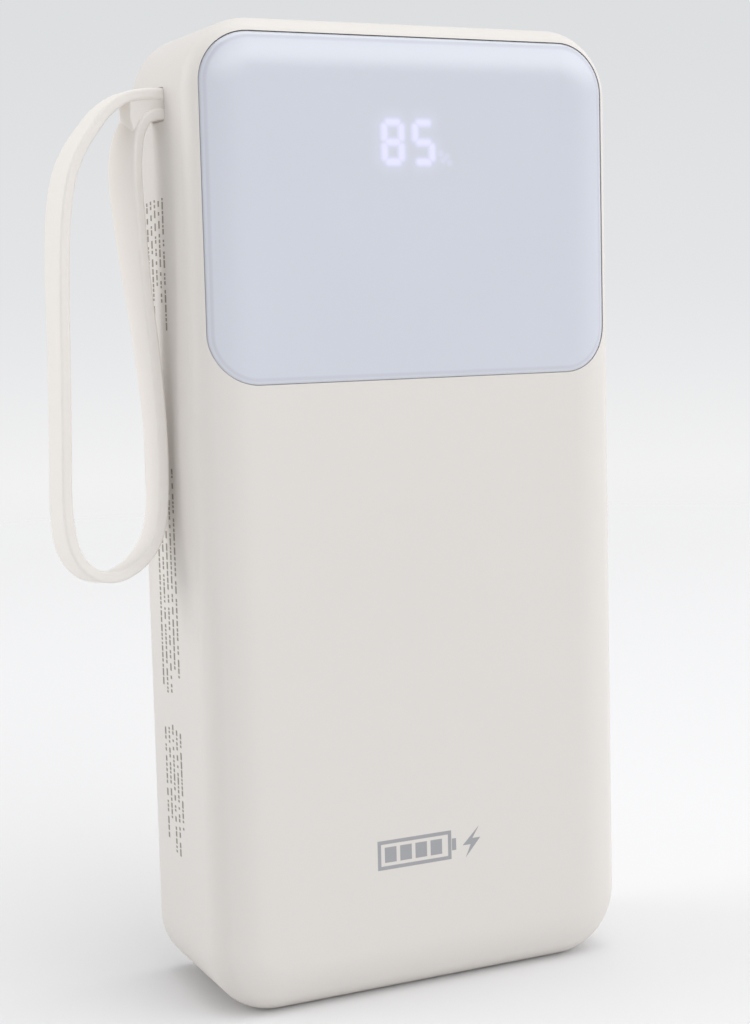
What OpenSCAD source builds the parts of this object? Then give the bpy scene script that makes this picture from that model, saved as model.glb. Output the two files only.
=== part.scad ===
// Pocket power bank with a display window and a wrist strap.
// X runs across the front, the front faces -Y, Z is up. The origin is the middle of the bottom end.

/* [Body] */
// Width across the front
body_w = 67.2; // [67:0.1:74]
// Height from the bottom end to the port end
body_h = 142; // [140:0.5:150]
// Depth from the front face to the back cover
body_d = 28.5; // [28.5:0.1:31]
// Corner radius, seen from the front
corner_r = 10; // [9.8:0.1:12]
// Thickness of the housing wall
wall = 2.2; // [2:0.05:2.4]
// Radius of the soft start of the front edge's rounding
soft_r = 14; // [12:0.5:18]
// Radius of the tight end of the front edge's rounding
tight_r = 4; // [4:0.1:5]

/* [Back cover] */
// Thickness of the back cover
cover_t = 2.2; // [2.2:0.1:2.6]
// Shadow gap between the housing and the back cover
seam_gap = 0.3; // [0.2:0.05:0.4]
// How far the back cover's outline stands in from the housing's
cover_inset = 0.35; // [0.2:0.05:0.6]
// Radius of the rounding round the back
cover_round = 2; // [1.4:0.1:2.1]
// Depth of the lip that locates the cover in the housing
lip_h = 3.5; // [3:0.1:3.8]

/* [Display window] */
// Width of the lens
lens_w = 63.6; // [60:0.1:63.6]
// Height of the lens
lens_h = 48.6; // [44:0.1:49]
// Distance from the port end to the lens
lens_top = 2.2; // [2.2:0.1:3]
// Corner radius of the lens
lens_r = 7.2; // [6:0.1:8]
// Thickness of the lens
lens_t = 1; // [0.8:0.05:1.1]
// Gap round the lens
lens_gap = 0.2; // [0.15:0.05:0.3]

/* [Digits] */
// Height of a digit
digit_h = 6.5; // [5:0.1:7]
// Width of a digit
digit_w = 3.7; // [3:0.1:3.8]
// Distance from one digit to the next
digit_pitch = 4.85; // [4.6:0.05:5]
// Width of one segment
segment_w = 0.8; // [0.6:0.05:0.9]

/* [Power button] */
// Length of the button along the side
button_l = 10; // [8:0.5:12]
// Width of the button
button_w = 3.6; // [3:0.1:4]
// How far the button stands proud of the side
button_proud = 0.5; // [0.4:0.05:0.8]
// Travel of the button
button_travel = 0.4; // [0.3:0.05:0.5]

/* [Wrist strap] */
// Width of the strap's band
strap_w = 6; // [5:0.1:6]
// Thickness of the strap's band
strap_t = 1.6; // [1.2:0.1:1.6]

/* [Cells] */
// Width of a cell
cell_w = 58; // [54:0.5:58]
// Height of a cell with its sealed edge
cell_h = 106; // [99:0.5:106]
// Thickness of a cell
cell_t = 10.8; // [10:0.1:10.8]

/* [Hidden] */
$fn = 64;

// Colours
cream = "#ecebe4";
strap_cream = "#efeee8";
milky = "#d3d8e6";
pcb_green = "#1f5c3a";
steel = "#c4c7cb";
nickel = "#b9b5a6";
black = "#22242a";
foam_grey = "#3b3d42";

// Places on the body
half_w = body_w / 2;
half_h = body_h / 2;
front_y = -body_d / 2;
back_y = body_d / 2;
cover_y = back_y - cover_t;
seam_y = cover_y - seam_gap;
inner_front = front_y + wall;
touch = 0.05;
past = 1;

// Display window
lens_z = body_h - lens_top - lens_h / 2;
lens_sink = 0.05;
tape_t = 0.25;
recess = lens_sink + lens_t + tape_t;
tape_w = 3;

// Display module, stacked from the lens towards the main board
module_w = 18;
module_h = 10;
digits_z = body_h - 17.1;
digits_x = -3.4;
segment_gap = 0.12;
segment_half = [(digit_w - segment_w) / 2, (digit_h - segment_w) / 2];
percent_x = digits_x + 1.71 * digit_pitch;
percent_z = digits_z - 2.2;
film_t = 0.1;
film_y = front_y + lens_sink + lens_t + 0.02;
frame_y = film_y + film_t + 0.02;
frame_t = 3.6;
led_t = 0.4;
led_w = 0.6;
led_y = frame_y + frame_t;
display_board_y = led_y + led_t;
display_board_t = 1;

// Main board and the ports on it
board_y = 3.5;
board_t = 1.2;
board_z = [body_h - 27, body_h - 3.8];
board_x = [-27, 29];
board_r = 4;
board_back = board_y + board_t;
port_y = 0.6;
port_mouth = body_h - 0.3;
usb_c_x = -18;
usb_c_size = [8.94, 3.2];
usb_c_l = 7.3;
usb_a_x = [-2, 16];
usb_a_size = [13.1, 5.7];
usb_a_l = 14;
shell_t = 0.35;
usb_a_inner = [usb_a_size[0] - 2 * shell_t, usb_a_size[1] - 2 * shell_t];
port_gap = 0.15;
tongue_t = 1.84;
tongue_w = 11.1;
tongue_y = port_y - 0.72;
tongue_root = 4.5;
contact_t = 0.15;

// Screws that hold the main board
screw_r = 1;
screw_l = 6.5;
screw_places = [[-27 + 3.2, board_z[0] + 3], [29 - 3.2, board_z[0] + 3], [26, body_h - 7.5]];
boss_r = 2.4;

// Power button and its switch, on the +X side
button_y = 1.9;
button_z = body_h - 16;
button_gap = 0.2;
flange_t = 0.9;
flange_edge = 1;
flange_x = half_w - wall - touch - flange_t;
switch_x = [flange_x - 4.85, flange_x - 1.15];
switch_h = 3.2;
switch_l = 6;
plunger_r = 0.9;
dome_x = switch_x[0] + 1.4;
dome_h = button_travel + 0.1;
dome_r = 1.5;

// Strap slot and anchor, on the -X side
slot_y = 0;
slot_z = body_h - 11.3;
slot_w = 6.2;
slot_h = 4.6;
plug_face = -half_w + 1;
plug_gap = 0.05;
anchor_t = 3.4;
anchor_gap = 0.25;
anchor_x = -half_w + wall + anchor_gap;
pin_x = anchor_x + anchor_t / 2;
pin_r = 0.75;
pin_gap = 0.05;
ear_t = 2.8;
ear_h = 3.8;
ear_off = 3.7;

// Cells, stacked from the front wall to the back cover
pad_t = 0.65;
cell_z = 6.5;
cell_top = cell_z + cell_h;
front_cell_y = inner_front + pad_t;
front_cell_mid = front_cell_y + cell_t / 2;
cell_tape_t = 0.4;
back_cell_y = front_cell_y + cell_t + cell_tape_t;
cell_r = 2.5;
terrace_h = 5;
terrace_t = 1.2;
tab_w = 8;
tab_t = 0.2;
tab_x = 12;
stop_t = 1.2;

// Leads
lead_r = 0.9;
lead_turn = 3;
lead_y = front_cell_mid + tab_t / 2 + lead_r;

// Strap route in the X-Z plane, as distances from the side of the body and from the port end
STRAP_ROUTE = [
    [1, -10], [-1.2, -9.9], [-3.5, -10.1], [-5.3, -10.5], [-6.9, -11.4], [-8.6, -12.8],
    [-10.2, -14.8], [-11.8, -17], [-13.2, -19.6], [-14.2, -22.7], [-14.9, -27], [-15.3, -32.6],
    [-15.5, -39.2], [-15.6, -46.3], [-15.8, -53.4], [-16, -60.5], [-16.2, -66.6], [-16, -70.7],
    [-15.4, -73.7], [-13.9, -76.3], [-11.7, -77.7], [-9, -77.9], [-6.6, -76.9], [-4.5, -75.1],
    [-3, -72.6], [-2.2, -69.1], [-1.9, -63.5], [-2, -56.4], [-2.5, -49.3], [-3.2, -42.2],
    [-4, -35.1], [-4.6, -28], [-5, -21.4], [-4.6, -17], [-3.5, -14.1], [-1.6, -12.7], [1, -12.6]
];
STRAP_STEPS = 2;

// ---- Rounded slab ----
// An edge is [soft radius, tight radius]: a soft arc off the front face, then a tight one to the side.
// The soft arc turns through the small angle of a 44-117-125 triangle, which keeps the tangent points exact.
turn_sin = 44 / 125;
turn_cos = 117 / 125;
function edge_run(e) = (e[0] - e[1]) * turn_sin + e[1];
function edge_drop(e) = e[0] - (e[0] - e[1]) * turn_cos;
function edge_joint(e) = e[1] * (1 - turn_sin);

// Cross-section of the slab: X across, Y from front to back, both front corners rounded
module section(half, front, back, e) {
    run = edge_run(e);
    drop = edge_drop(e);
    joint = edge_joint(e);
    translate([-half, front + drop]) square([2 * half, back - front - drop]);
    translate([-(half - run), front]) square([2 * (half - run), drop]);
    for (side = [0, 1]) mirror([side, 0]) {
        intersection() {
            translate([half - run, front + e[0]]) circle(r = e[0]);
            translate([half - run, front]) square([run - joint, drop]);
        }
        intersection() {
            translate([half - e[1], front + drop]) circle(r = e[1]);
            translate([half - joint, front]) square([joint, drop]);
        }
    }
}

module half_section(half, front, back, e) {
    intersection() {
        section(half, front, back, e);
        translate([0, front]) square([half, back - front]);
    }
}

// Slab with the section on all four sides and round corners, centred on the body
module slab(half_x, half_z, corner, front, back, e) {
    flat_x = half_x - corner;
    flat_z = half_z - corner;
    translate([0, 0, half_h]) {
        translate([0, 0, -flat_z]) linear_extrude(2 * flat_z) section(half_x, front, back, e);
        for (end = [0, 1]) mirror([0, 0, end]) translate([0, 0, flat_z]) {
            rotate([0, -90, 0]) translate([0, 0, -flat_x])
                linear_extrude(2 * flat_x) half_section(corner, front, back, e);
            for (side = [0, 1]) mirror([side, 0, 0]) translate([flat_x, 0, 0])
                rotate([90, 0, 0]) mirror([0, 0, 1])
                    rotate_extrude(angle = 90) half_section(corner, front, back, e);
        }
    }
}

// The body's outer shape, drawn in by inset on every face but the back
module body_shape(inset, back) {
    slab(half_w - inset, half_h - inset, corner_r - inset, front_y + inset, back,
        [soft_r - inset, tight_r - inset]);
}

// ---- Flat shapes and prisms ----
module rounded_rect(w, h, r) {
    square([w - 2 * r, h], center = true);
    square([w, h - 2 * r], center = true);
    for (x = [-1, 1], y = [-1, 1]) translate([x * (w / 2 - r), y * (h / 2 - r)]) circle(r = r);
}

// Rounded rectangle in X and Z, from y0 to y1
module plate_y(w, h, r, y0, y1, x = 0, z = 0) {
    translate([x, y1, z]) rotate([90, 0, 0]) linear_extrude(y1 - y0) rounded_rect(w, h, r);
}

// Rounded rectangle in X and Y, from z0 to z1
module plate_z(w, h, r, z0, z1, x = 0, y = 0) {
    translate([x, y, z0]) linear_extrude(z1 - z0) rounded_rect(w, h, r);
}

// Rounded rectangle in Y and Z, from x0 to x1
module plate_x(w, h, r, x0, x1, y = 0, z = 0) {
    translate([x0, y, z]) rotate([90, 0, 90]) linear_extrude(x1 - x0) rounded_rect(w, h, r);
}

module block(x, y, z) {
    translate([x[0], y[0], z[0]]) cube([x[1] - x[0], y[1] - y[0], z[1] - z[0]]);
}

module rod_x(r, x0, x1, y, z) {
    translate([x0, y, z]) rotate([0, 90, 0]) cylinder(r = r, h = x1 - x0);
}

module rod_y(r, y0, y1, x, z) {
    translate([x, y0, z]) rotate([-90, 0, 0]) cylinder(r = r, h = y1 - y0);
}

module rod_z(r, z0, z1, x, y) {
    translate([x, y, z0]) cylinder(r = r, h = z1 - z0);
}

// ---- Housing and cover ----
module lens_outline(grow, y0, y1) {
    plate_y(lens_w + 2 * grow, lens_h + 2 * grow, lens_r + grow, y0, y1, 0, lens_z);
}

// Layer of the body's front between two insets, inside the lens outline
module front_layer(outer, inner, grow) {
    intersection() {
        difference() {
            body_shape(outer, 0);
            body_shape(inner, past);
        }
        lens_outline(grow, front_y - past, 0);
    }
}

// Ridges on the cover's lip, and the grooves that they snap into
module snap_ridges(r) {
    ridge_y = cover_y - lip_h + 1.05;
    for (side = [-1, 1], z = [0.2, 0.5, 0.8])
        rod_z(r, body_h * z - 4 - r, body_h * z + 4 + r, side * (half_w - wall - 2 * touch), ridge_y);
    for (z = [wall + 2 * touch, body_h - wall - 2 * touch])
        rod_x(r, -4 - r, 4 + r, ridge_y, z);
}

// Bosses for the board, stops for the cells and ears for the strap's pin
module inner_structure() {
    for (p = screw_places) rod_y(boss_r, front_y, board_y, p[0], p[1]);
    for (side = [-1, 1])
        block([side * 26 - 5, side * 26 + 5], [front_y, cover_y - lip_h - 0.2],
            [cell_top + 0.3, cell_top + 0.3 + stop_t]);
    for (y = [[front_y, slot_y - ear_off], [slot_y + ear_off, slot_y + ear_off + ear_t]])
        block([-half_w, pin_x + 1.7], y, [slot_z - ear_h / 2, slot_z + ear_h / 2]);
}

module port_holes() {
    plate_z(usb_c_size[0] + 2 * port_gap, usb_c_size[1] + 2 * port_gap, usb_c_size[1] / 2 + port_gap - 0.01,
        body_h - wall - past, body_h + past, usb_c_x, port_y);
    for (x = usb_a_x)
        plate_z(usb_a_size[0] + 2 * port_gap, usb_a_size[1] + 2 * port_gap, 0.6,
            body_h - wall - past, body_h + past, x, port_y);
}

module main_housing() {
    color(cream) difference() {
        union() {
            difference() {
                body_shape(0, seam_y);
                body_shape(wall, seam_y + past);
            }
            intersection() {
                inner_structure();
                body_shape(wall - 0.6, seam_y);
            }
        }
        front_layer(-past, recess, lens_gap);
        block([-module_w / 2 - 0.3, module_w / 2 + 0.3], [front_y, inner_front + past],
            [digits_z - module_h / 2 - 0.3, digits_z + module_h / 2 + 0.3]);
        port_holes();
        snap_ridges(0.55);
        plate_x(button_w + 2 * button_gap, button_l + 2 * button_gap, button_w / 2 + button_gap - 0.01,
            half_w - wall - past, half_w + past, button_y, button_z);
        plate_x(slot_w, slot_h, 0.8, -half_w - past, -half_w + wall + past, slot_y, slot_z);
        rod_y(pin_r + pin_gap, slot_y - 6, slot_y + ear_off + ear_t + past, pin_x, slot_z);
        for (p = screw_places) rod_y(screw_r + touch, board_y - screw_l, board_y + past, p[0], p[1]);
    }
}

module back_cover() {
    lip_out = wall + 2 * touch;
    color(cream) {
        mirror([0, 1, 0])
            slab(half_w - cover_inset, half_h - cover_inset, corner_r - cover_inset, -back_y, -cover_y,
                [cover_round, cover_round]);
        difference() {
            plate_y(body_w - 2 * lip_out, body_h - 2 * lip_out, corner_r - lip_out,
                cover_y - lip_h, cover_y, 0, half_h);
            plate_y(body_w - 2 * lip_out - 2.4, body_h - 2 * lip_out - 2.4, corner_r - lip_out - 1.2,
                cover_y - lip_h - past, cover_y, 0, half_h);
        }
        snap_ridges(0.45);
    }
}

// ---- Display ----
module display_lens() {
    color(milky) front_layer(lens_sink, lens_sink + lens_t, 0);
}

module lens_tape() {
    color(black) difference() {
        front_layer(lens_sink + lens_t, recess, -0.4);
        plate_y(lens_w - 2 * tape_w, lens_h - 2 * tape_w, lens_r - tape_w, front_y - past, 0, 0, lens_z);
    }
}

module diffuser_film() {
    color("white") block([-module_w / 2 + 0.2, module_w / 2 - 0.2], [film_y, film_y + film_t],
        [digits_z - module_h / 2 + 0.2, digits_z + module_h / 2 - 0.2]);
}

// One segment: a bar with pointed ends from a to b, both [x, z] from the digit's middle
module segment(a, b, w) {
    length = norm(b - a);
    angle = atan2(b[1] - a[1], b[0] - a[0]);
    translate((a + b) / 2) rotate(angle)
        polygon([
            [-length / 2, 0], [-length / 2 + w / 2, w / 2], [length / 2 - w / 2, w / 2],
            [length / 2, 0], [length / 2 - w / 2, -w / 2], [-length / 2 + w / 2, -w / 2]
        ]);
}

// Ends of the seven segments, in the order top, upper right, lower right, bottom, lower left,
// upper left, middle
function segment_ends(w, h, gap) = [
    [[-w + gap, h], [w - gap, h]], [[w, h - gap], [w, gap]], [[w, -gap], [w, -h + gap]],
    [[w - gap, -h], [-w + gap, -h]], [[-w, -h + gap], [-w, -gap]], [[-w, gap], [-w, h - gap]],
    [[-w + gap, 0], [w - gap, 0]]
];

// The chosen segments of digit number place, drawn as bars from y0 to y1
module digit(place, chosen, grow, y0, y1) {
    ends = segment_ends(segment_half[0], segment_half[1], segment_gap);
    translate([digits_x + place * digit_pitch, y1, digits_z]) rotate([90, 0, 0])
        linear_extrude(y1 - y0)
            for (k = chosen) {
                way = (ends[k][1] - ends[k][0]) / norm(ends[k][1] - ends[k][0]);
                segment(ends[k][0] - grow * way, ends[k][1] + grow * way, segment_w + grow);
            }
}

module percent(grow, y0, y1) {
    translate([percent_x, 0, percent_z]) {
        rod_y(0.32 + grow, y0, y1, -0.65, 0.65);
        rod_y(0.32 + grow, y0, y1, 0.65, -0.65);
        translate([0, y1, 0]) rotate([90, 0, 0]) linear_extrude(y1 - y0)
            rotate(52) square([2.2 + grow, 0.3 + grow], center = true);
    }
}

module display_frame() {
    color("white") difference() {
        plate_y(module_w, module_h, 0.5, frame_y, frame_y + frame_t, 0, digits_z);
        for (place = [0, 1]) for (k = [0:6]) digit(place, [k], 0.04, frame_y - past, frame_y + frame_t + past);
        percent(0.03, frame_y - past, frame_y + frame_t + past);
    }
}

module lit_segments() {
    color("#e8e0ff") {
        digit(0, [0:6], 0, frame_y, frame_y + frame_t);
        digit(1, [0, 2, 3, 5, 6], 0, frame_y, frame_y + frame_t);
    }
}

module dark_segments() {
    color("#b9b9c4") digit(1, [1, 4], 0, frame_y, frame_y + frame_t);
}

module percent_icon() {
    color("#cfc9e6") percent(0, frame_y, frame_y + frame_t);
}

// One small light behind each segment and behind the percent sign
module segment_leds() {
    ends = segment_ends(segment_half[0], segment_half[1], segment_gap);
    color("#f4efc2") {
        for (place = [0, 1], k = [0:6]) {
            middle = (ends[k][0] + ends[k][1]) / 2;
            translate([digits_x + place * digit_pitch + middle[0], led_y + led_t / 2, digits_z + middle[1]])
                cube([led_w, led_t, led_w], center = true);
        }
        translate([percent_x, led_y + led_t / 2, percent_z]) cube([led_w, led_t, led_w], center = true);
    }
}

module display_board() {
    color(pcb_green)
        plate_y(28, 16, 1, display_board_y, display_board_y + display_board_t, 0, digits_z - 1.2);
}

module display_header() {
    color(nickel) for (k = [0:7])
        block([k * 1.27 - 4.7, k * 1.27 - 4.2], [display_board_y + display_board_t, board_y],
            [digits_z - 8.4, digits_z - 7.9]);
}

// ---- Main board and ports ----
module main_board() {
    w = board_x[1] - board_x[0];
    h = board_z[1] - board_z[0];
    mid_x = (board_x[0] + board_x[1]) / 2;
    mid_z = (board_z[0] + board_z[1]) / 2;
    color(pcb_green) difference() {
        plate_y(w, h, board_r, board_y, board_back, mid_x, mid_z);
        for (p = screw_places) rod_y(screw_r + 0.1, board_y - past, board_back + past, p[0], p[1]);
    }
}

module board_screws() {
    color(steel) for (p = screw_places) {
        rod_y(screw_r, board_y - screw_l + 0.5, board_back, p[0], p[1]);
        difference() {
            rod_y(1.8, board_back, board_back + 1.3, p[0], p[1]);
            for (turn = [0, 90]) translate([p[0], board_back + 1.3, p[1]]) rotate([0, turn, 0])
                cube([2, 1.4, 0.5], center = true);
        }
    }
}

// Pill-shaped stretch of the USB-C socket, drawn in by inset, from z0 to z1
module usb_c_part(inset, z0, z1) {
    w = usb_c_size[0] - 2 * inset;
    h = usb_c_size[1] - 2 * inset;
    plate_z(w, h, h / 2 - 0.01, z0, z1, usb_c_x, port_y);
}

module usb_c_shell() {
    z0 = port_mouth - usb_c_l;
    color(steel) difference() {
        usb_c_part(0, z0, port_mouth);
        usb_c_part(shell_t, z0 - past, port_mouth + past);
    }
}

module usb_c_insulator() {
    z0 = port_mouth - usb_c_l;
    color(black) {
        usb_c_part(shell_t, z0, z0 + 1.4);
        plate_z(6.69, 0.7, 0.3, z0 + 1.4, port_mouth - 0.7, usb_c_x, port_y);
    }
}

module usb_c_riser() {
    color(black) block([usb_c_x - 4.2, usb_c_x + 4.2], [port_y + usb_c_size[1] / 2, board_y],
        [port_mouth - usb_c_l, board_z[1] - 0.2]);
}

module usb_a_shell(x) {
    z0 = port_mouth - usb_a_l;
    color(steel) difference() {
        plate_z(usb_a_size[0], usb_a_size[1], 0.5, z0, port_mouth, x, port_y);
        plate_z(usb_a_inner[0], usb_a_inner[1], 0.3, z0 - past, port_mouth + past, x, port_y);
    }
}

// Back block with the tongue that carries the contacts, towards the front of the body
module usb_a_insulator(x) {
    z0 = port_mouth - usb_a_l;
    color(black) {
        plate_z(usb_a_inner[0], usb_a_inner[1], 0.3, z0, z0 + tongue_root, x, port_y);
        plate_z(tongue_w, tongue_t, 0.3, z0 + tongue_root, port_mouth - 1.2, x, tongue_y);
    }
}

module usb_a_shell_1() { usb_a_shell(usb_a_x[0]); }
module usb_a_shell_2() { usb_a_shell(usb_a_x[1]); }
module usb_a_insulator_1() { usb_a_insulator(usb_a_x[0]); }
module usb_a_insulator_2() { usb_a_insulator(usb_a_x[1]); }

module usb_a_contacts() {
    contact_y = tongue_y + tongue_t / 2;
    color("#caa65a") for (x = usb_a_x, k = [-3.5, -1, 1, 3.5])
        block([x + k - 0.5, x + k + 0.5], [contact_y, contact_y + contact_t],
            [port_mouth - usb_a_l + tongue_root, port_mouth - 2]);
}

// ---- Power button ----
module power_button() {
    step_x = flange_x + flange_t;
    flange_w = button_w + 2 * flange_edge;
    color(cream) {
        plate_x(button_w, button_l, button_w / 2 - 0.01, step_x, half_w + button_proud, button_y, button_z);
        plate_x(flange_w, button_l + 2 * flange_edge, flange_w / 2 - 0.01,
            flange_x, step_x, button_y, button_z);
    }
}

module switch_body() {
    color(black) difference() {
        block(switch_x, [board_y - switch_h, board_y], [button_z - switch_l / 2, button_z + switch_l / 2]);
        rod_x(dome_r + 0.1, dome_x - dome_h - 0.1, dome_x + 0.6, button_y, button_z);
        rod_x(plunger_r + touch, dome_x, switch_x[1] + past, button_y, button_z);
    }
}

module switch_plunger() {
    color("#d9d3c2") {
        rod_x(plunger_r, dome_x + 0.5, flange_x, button_y, button_z);
        rod_x(1.35, dome_x, dome_x + 0.5, button_y, button_z);
    }
}

// Thin steel snap dome, a spherical cap with its top at the plunger
module switch_dome() {
    bulge_r = (dome_r * dome_r + dome_h * dome_h) / (2 * dome_h);
    color(steel) translate([dome_x, button_y, button_z]) rotate([0, 90, 0])
        intersection() {
            difference() {
                translate([0, 0, -bulge_r]) sphere(r = bulge_r);
                translate([0, 0, -bulge_r]) sphere(r = bulge_r - 0.12);
            }
            translate([0, 0, -dome_h]) cylinder(r = dome_r, h = dome_h);
        }
}

// ---- Electronics on the back of the main board ----
module inductors() {
    color(black) for (x = [-12, 3])
        plate_y(9, 9, 1.2, board_back, board_back + 4, x, board_z[0] + 8.5);
}

module capacitors() {
    color(steel) for (x = [11, 17.5, -21])
        rod_y(2.5, board_back, board_back + 5.2, x, board_z[0] + 12);
}

module control_chips() {
    chip_z = [board_z[1] - 8, board_z[1] - 3];
    color(black) {
        for (x = [-13, 3]) block([x - 2.5, x + 2.5], [board_back, board_back + 0.9], chip_z);
        for (x = [-5, 10, 17]) block([x - 2, x + 2], [board_back, board_back + 1.5], chip_z);
    }
}

// ---- Cells and what holds them ----
// Pouch cell: a rounded body with a thin sealed edge on top
module pouch_cell(y0) {
    mid_y = y0 + cell_t / 2;
    color("#c9ccd1") {
        plate_z(cell_w, cell_t, cell_r, cell_z, cell_top - terrace_h, 0, mid_y);
        block([-cell_w / 2 + 2, cell_w / 2 - 2], [mid_y - terrace_t / 2, mid_y + terrace_t / 2],
            [cell_top - terrace_h, cell_top]);
    }
}

module front_cell() { pouch_cell(front_cell_y); }
module back_cell() { pouch_cell(back_cell_y); }

module cell_tape() {
    color("#e6e0c8") plate_y(52, 90, 2, front_cell_y + cell_t, back_cell_y, 0, cell_z + 50);
}

module front_pad() {
    color(foam_grey) plate_y(46, 76, 2, inner_front, front_cell_y, 0, 50);
}

module back_foam() {
    color(foam_grey) plate_y(48, 84, 2, back_cell_y + cell_t, cover_y, 0, cell_z + 50);
}

module bottom_foam() {
    color(foam_grey) block([-23, 23], [-7.5, 7.5], [wall, cell_z]);
}

module insulating_sheet() {
    color("#e9d9a0") plate_y(52, 21, 1, cover_y - 0.3, cover_y, 0, board_z[0] + 11.5);
}

// Nickel tabs: the back cell's reach the board, the front cell's carry the leads
module cell_tabs() {
    color(nickel) for (side = [-1, 1]) {
        across = [side * tab_x - tab_w / 2, side * tab_x + tab_w / 2];
        block(across, [front_cell_mid - tab_t / 2, front_cell_mid + tab_t / 2], [cell_top, cell_top + 3]);
        block(across, [board_back, board_back + tab_t], [cell_top, cell_top + 6.5]);
    }
}

// Lead at x that runs up from z0, turns towards the back and ends on the main board
module lead(x, y, z0, r) {
    turn_z = board_z[0] + 3 - lead_turn;
    rod_z(r, z0, turn_z, x, y);
    translate([x, y + lead_turn, turn_z]) rotate([0, -90, 0]) mirror([0, 1, 0])
        rotate_extrude(angle = 90) translate([lead_turn, 0]) circle(r = r);
    rod_y(r, y + lead_turn, board_y, x, turn_z + lead_turn);
}

module positive_lead() {
    color("#b3262a") lead(-tab_x, lead_y, cell_top + 0.3, lead_r);
}

module negative_lead() {
    color(black) lead(tab_x, lead_y, cell_top + 0.3, lead_r);
}

// Bead on the front cell's shoulder, with two thin legs to the board
module thermistor() {
    bead_r = 1.2;
    bead_x = 19.5;
    bead_y = front_cell_mid + 2.2;
    bead_z = cell_top - terrace_h + bead_r;
    color("#4a4f57") translate([bead_x, bead_y, bead_z]) sphere(r = bead_r);
    color(nickel) for (side = [-1, 1]) lead(bead_x + side * 0.6, bead_y, bead_z, 0.3);
}

// ---- Wrist strap ----
module strap_anchor() {
    color(strap_cream) difference() {
        union() {
            plate_x(slot_w - 2 * plug_gap, slot_h - 2 * plug_gap, 0.7,
                plug_face, anchor_x + 0.5, slot_y, slot_z);
            plate_x(7.2, 6, 0.8, anchor_x, anchor_x + anchor_t, slot_y, slot_z);
        }
        rod_y(pin_r + pin_gap, slot_y - 5, slot_y + 5, pin_x, slot_z);
    }
}

module strap_pin() {
    color(steel) rod_y(pin_r, slot_y - 5.9, slot_y + ear_off + ear_t, pin_x, slot_z);
}

// The route's own points, and points between them on a smooth curve
function strap_point(k) = let (p = STRAP_ROUTE[k]) [p[0] - half_w, p[1] + body_h];
function blend_point(a, b, c, d, t) =
    ((2 * b) + (c - a) * t + (2 * a - 5 * b + 4 * c - d) * t * t + (3 * b - a - 3 * c + d) * t * t * t) / 2;
strap_last = len(STRAP_ROUTE) - 1;
strap_line = concat(
    [for (k = [0:strap_last - 1], s = [0:STRAP_STEPS - 1])
        blend_point(strap_point(max(k - 1, 0)), strap_point(k), strap_point(k + 1),
            strap_point(min(k + 2, strap_last)), s / STRAP_STEPS)],
    [strap_point(strap_last)]
);
strap_rings = len(strap_line);

// Band section: width along Y, thickness across the route, with softened corners
strap_soft = 0.4;
strap_half_w = strap_w / 2;
strap_half_t = strap_t / 2;
strap_section = [
    [strap_half_w, strap_half_t - strap_soft], [strap_half_w - strap_soft, strap_half_t],
    [-strap_half_w + strap_soft, strap_half_t], [-strap_half_w, strap_half_t - strap_soft],
    [-strap_half_w, -strap_half_t + strap_soft], [-strap_half_w + strap_soft, -strap_half_t],
    [strap_half_w - strap_soft, -strap_half_t], [strap_half_w, -strap_half_t + strap_soft]
];

// Direction across the band at ring k, square to the route
function strap_across(k) =
    k == 0 ? [0, 1] : k == strap_rings - 1 ? [0, -1] :
    let (along = strap_line[k + 1] - strap_line[k - 1]) [along[1], -along[0]] / norm(along);

module wrist_strap() {
    sides = len(strap_section);
    points = [for (k = [0:strap_rings - 1], s = strap_section)
        let (across = strap_across(k) * s[1])
        [strap_line[k][0] + across[0], slot_y + s[0], strap_line[k][1] + across[1]]];
    walls = [for (k = [0:strap_rings - 2], j = [0:sides - 1], half = [0, 1])
        let (a = k * sides + j, b = k * sides + (j + 1) % sides)
        half == 0 ? [a, b, b + sides] : [a, b + sides, a + sides]];
    start_cap = [[for (j = [sides - 1:-1:0]) j]];
    end_cap = [[for (j = [0:sides - 1]) (strap_rings - 1) * sides + j]];
    color(strap_cream) polyhedron(points, concat(walls, start_cap, end_cap));
}

main_housing();
back_cover();
display_lens();
lens_tape();
diffuser_film();
display_frame();
lit_segments();
dark_segments();
percent_icon();
segment_leds();
display_board();
display_header();
main_board();
board_screws();
usb_c_shell();
usb_c_insulator();
usb_c_riser();
usb_a_shell_1();
usb_a_insulator_1();
usb_a_shell_2();
usb_a_insulator_2();
usb_a_contacts();
power_button();
switch_body();
switch_plunger();
switch_dome();
inductors();
capacitors();
control_chips();
front_cell();
back_cell();
cell_tape();
front_pad();
back_foam();
bottom_foam();
insulating_sheet();
cell_tabs();
positive_lead();
negative_lead();
thermistor();
strap_anchor();
strap_pin();
wrist_strap();
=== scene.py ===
"""Looks for the power bank: shell, milky display lens, wrist strap, ports and what is inside."""

import math
import random

import bmesh
import bpy
import numpy as np
from mathutils import Matrix, Vector


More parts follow.
